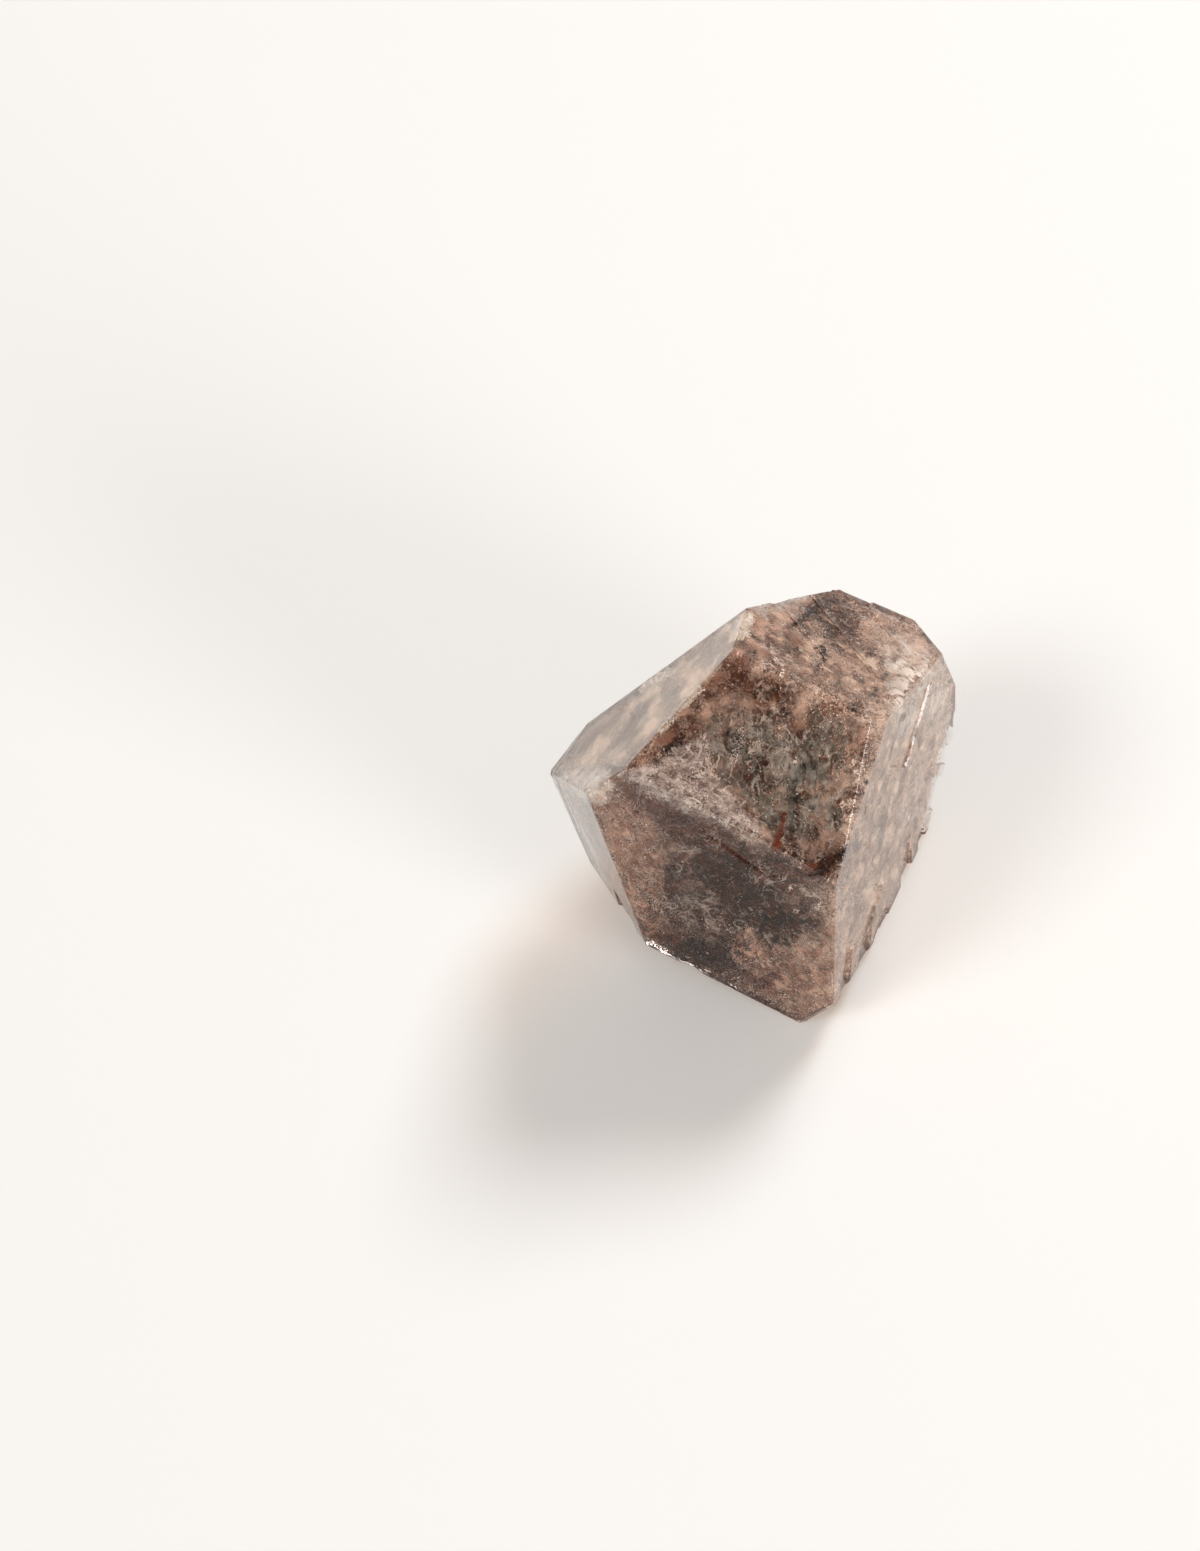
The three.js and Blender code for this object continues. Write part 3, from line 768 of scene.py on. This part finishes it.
def make_rock_oil(draw):
    """Dried rock oil: the nearly black clouds, lines and specks."""
    grains = [
        cloud(draw, OIL_CLOUD, 4500, (0.02, 0.25), (0.04, 0.1), 0.22, 0.45, 4.0),
        cloud(draw, OIL_SMEAR, 300, (0.12, 0.4), (0.04, 0.08), 0.3, 0.4, 1.5, near=True),
        cloud(draw, OIL_POOL, 2000, (0.02, 0.25), (0.04, 0.1), 0.22, 0.45),
        cloud(draw, OIL_HALO, 3500, (0.03, 0.3), (0.04, 0.1), 0.22, 0.54),
        cloud(draw, OIL_TOP, 900, (0.03, 0.2), (0.04, 0.1), 0.22, 0.5),
        cloud(draw, OIL_UPPER, 250, (0.03, 0.2), (0.04, 0.1), 0.22, 0.56),
        cloud(draw, SMEAR, 500, (0.03, 0.2), (0.04, 0.1), 0.22, 0.52, 2.5, (0, 1)),
        cloud(draw, BLOTCH_LEFT, 300, (0.03, 0.2), (0.04, 0.1), 0.22, 0.5),
        cloud(draw, BLOTCH_MIDDLE, 250, (0.03, 0.2), (0.04, 0.1), 0.22, 0.54),
    ]
    grains += [trail(draw, line, 8, (0.12, 0.24), (0.04, 0.08), spread) for line, spread in BLACK_LINES]
    grains += [fleck(draw, place, 30, (0.14, 0.25), (0.04, 0.08), 3) for place in SPECKS]
    sow("rock_oil", draw, grains, earthy("rock_oil", "#100602", "#271208", 0.5, 0.6))


def make_brown_veils():
    """Sheets of brown clay dust, which give the crystal depth between the grains."""
    hang("brown_veils", [
        (DUSTY, (0.6, 1.3, 2.6, 4.8), 10),
        (LOWER_LEFT, (0.9, 1.6), 12),
        (EDGE_BAND, (0.18,), 8),
        (STRIP, (2.5,), 8),
    ], haze("brown_veils", "#845d4d", "#dabaa7", 0.5, (0.46, 0.61), 0.72, detail=5.0, curl=0.0))


def make_pale_veils():
    """Sheets of pale clay dust, which lighten the upper and right-hand parts."""
    hang("pale_veils", [
        (DUSTY, (0.9, 2.6), 14),
        (RIGHT_SIDE, (0.3, 0.8), 16),
    ], haze("pale_veils", "#c9aa97", "#f1dac9", 0.5, (0.48, 0.62), 0.6, detail=5.0, curl=0.0))


def make_side_veils():
    """Patches of dust just under the right-hand face, drawn out away from the eye."""
    hang("side_veils", [(RIGHT_FACE, (0.25, 0.4, 0.7), 10)],
         haze("side_veils", "#80604a", "#f6e0ce", 0.4, (0.45, 0.62), 0.68, way=ALONG_SIDE, detail=5.0,
              curl=0.3))


def make_white_veils():
    """Milky quartz full of tiny bubbles: the white corner, tip, spot and crack."""
    hang("white_veils", [
        (MILKY, (0.12, 0.4), 14),
        (FROSTED_TIP, (0.12, 0.4), 8),
        (WHITE_SPOT, (0.12, 0.2), 5),
        (WHITE_CRACK, (0.12, 0.2, 0.3), 5),
    ], haze("white_veils", "#e2dad2", "#fffcf9", 0.35, (0.4, 0.56), 0.6))


def make_pink_veils():
    """Pinkish brown dust down the left side and at the bottom."""
    hang("pink_veils", [
        (LEFT_PALE, (0.13, 0.3, 0.7), 10),
        (BOTTOM_PINK, (0.13, 0.3, 0.7), 10),
        (WISPS, (0.12, 0.24), 6),
    ], haze("pink_veils", "#996650", "#ebc6b0", 0.25, (0.46, 0.6), 0.65, way=(0.35, 1)))


def make_healed_cracks():
    """Healed cracks: fine white lines, as in crazed glass."""
    hang("healed_cracks", [
        (DUSTY, (0.3, 0.75), 10),
        (VEIL, (0.13,), 8),
        (LOWER_LEFT, (0.22,), 10),
        (STRIP, (0.15, 0.4), 6),
    ], haze("healed_cracks", "#c3ada0", "#fff6ec", 0.7, (0.022, 0.0), 0.5, lines=True, detail=2.5))


def make_lilac_veils():
    """The pale mauve veil across the middle."""
    hang("lilac_veils", [(VEIL, (0.16, 0.3, 0.5), 6)],
         haze("lilac_veils", "#7d6c6a", "#e6dad6", 0.18, (0.48, 0.59), 0.7, way=(2, 1)))


def make_cream_veils():
    """Cream dust under the clear strip along the upper left."""
    hang("cream_veils", [(STRIP, (0.12, 0.25, 0.8), 6)],
         haze("cream_veils", "#8a6f58", "#f8e1cb", 0.8, (0.4, 0.62), 0.6, way=ALONG_STRIP, detail=5.0,
              curl=0.3))


def make_smoke_veils():
    """Grey smoke in the middle of the large face."""
    hang("smoke_veils", [
        (SMOKE, (0.2, 0.45, 0.9), 8),
        (STREAKS, (0.2, 0.55), 8),
    ], haze("smoke_veils", "#4f504b", "#a39d95", 0.22, (0.48, 0.6), 0.7, way=(0.1, 1)))


def make_dark_veils():
    """Dark clay dust round the oil and along the edges."""
    hang("dark_veils", [
        (OIL_HALO, (0.36, 1.0), 12),
        (EDGE_BAND, (0.35,), 4),
        (UNDER_VEIL, (0.2, 0.6), 5),
        (LOWER_EDGE, (0.12, 0.3, 0.7), 5),
        (STREAKS, (0.6,), 6),
        (V_ARMS, (0.2, 0.5), 4),
        (OIL_TOP, (0.25,), 6),
        (OIL_SMEAR, (0.12, 0.25), 4),
    ], haze("dark_veils", "#3b190b", "#7b4327", 0.25, (0.49, 0.59), 0.75))


def make_oil_veils():
    """Rock oil soaked into cracks: nearly black, brown where it is thin."""
    hang("oil_veils", [
        (OIL_CLOUD, (0.12, 0.2, 0.4, 0.8), 5),
        (OIL_POOL, (0.12, 0.25, 0.6), 5),
        (OIL_TOP, (0.15, 0.35), 4),
        (OIL_UPPER, (0.3,), 4),
        (SMEAR, (0.25, 0.65), 4),
        (BLOTCH_LEFT, (0.25,), 4),
        (BLOTCH_MIDDLE, (0.25, 0.6), 4),
    ], haze("oil_veils", "#130601", "#532b12", 0.22, (0.48, 0.58), 0.88))


# ---- The studio ----

FLOOR_HALF = 0.6  # metres


def make_floor():
    """A sheet of pale paper lit a little from below, as on a light table."""
    mesh = bmesh.new()
    bmesh.ops.create_grid(mesh, x_segments=1, y_segments=1, size=FLOOR_HALF)
    made = bpy.data.meshes.new("floor")
    mesh.to_mesh(made)
    mesh.free()
    material, tree = new_material("lit_paper")
    paper = put(tree, "ShaderNodeBsdfPrincipled", {
        "Base Color": tint("#f5f2ee"), "Roughness": 0.9,
        "Emission Color": tint("#fff8f0"), "Emission Strength": 0.05,
    })
    put(tree, "ShaderNodeOutputMaterial", {"Surface": paper.outputs["BSDF"]})
    made.materials.append(material)
    floor = bpy.data.objects.new("floor", made)
    bpy.context.scene.collection.objects.link(floor)


def make_sky():
    """Bright all round and dimmer overhead, like a light tent with its top open."""
    world = bpy.data.worlds.new("light_tent")
    world.use_nodes = True
    tree = world.node_tree
    tree.nodes.clear()
    height = put(tree, "ShaderNodeSeparateXYZ", {
        "Vector": put(tree, "ShaderNodeTexCoord").outputs["Generated"]}).outputs["Z"]
    bright = put(tree, "ShaderNodeMapRange", {
        "Value": height, "From Min": 0.05, "From Max": 0.6, "To Min": 0.4, "To Max": 0.2,
    }).outputs["Result"]
    back = put(tree, "ShaderNodeBackground", {"Color": tint("#fbf8f5"), "Strength": bright})
    put(tree, "ShaderNodeOutputWorld", {"Surface": back.outputs["Background"]})
    bpy.context.scene.world = world


def make_light(name, size, power, place):
    """A round soft box that looks at the crystal."""
    lamp = bpy.data.lights.new(name, "AREA")
    lamp.shape, lamp.size, lamp.energy = "DISK", size, power
    light = bpy.data.objects.new(name, lamp)
    light.location = place
    light.rotation_euler = (MIDDLE - Vector(place)).to_track_quat("-Z", "Y").to_euler()
    bpy.context.scene.collection.objects.link(light)


def make_studio():
    """The floor, the sky, three soft boxes, and how far light is followed through the quartz."""
    make_floor()
    make_sky()
    scene = bpy.context.scene
    scene.view_settings.view_transform = "Standard"
    scene.cycles.max_bounces = scene.cycles.transmission_bounces = 12
    scene.cycles.diffuse_bounces = 4
    scene.cycles.transparent_max_bounces = 40
    make_light("soft_box", 0.12, 0.54, (0.14, 0.14, 0.22))
    make_light("other_box", 0.12, 0.24, (-0.16, -0.09, 0.22))
    make_light("fill", 0.12, 0.45, (0.18, -0.22, 0.085))


make_camera()
make_studio()
make_crystal()
DRAW = np.random.default_rng(7)
make_brown_clay(DRAW)
make_pale_clay(DRAW)
make_white_clay_and_painted_glints(DRAW)
make_lilac_clay(DRAW)
make_dark_clay(DRAW)
make_brown_dust(DRAW)
make_pale_dust(DRAW)
make_dark_dust(DRAW)
make_rust(DRAW)
make_rock_oil(DRAW)
make_brown_veils()
make_pale_veils()
make_side_veils()
make_white_veils()
make_pink_veils()
make_healed_cracks()
make_lilac_veils()
make_cream_veils()
make_smoke_veils()
make_dark_veils()
make_oil_veils()
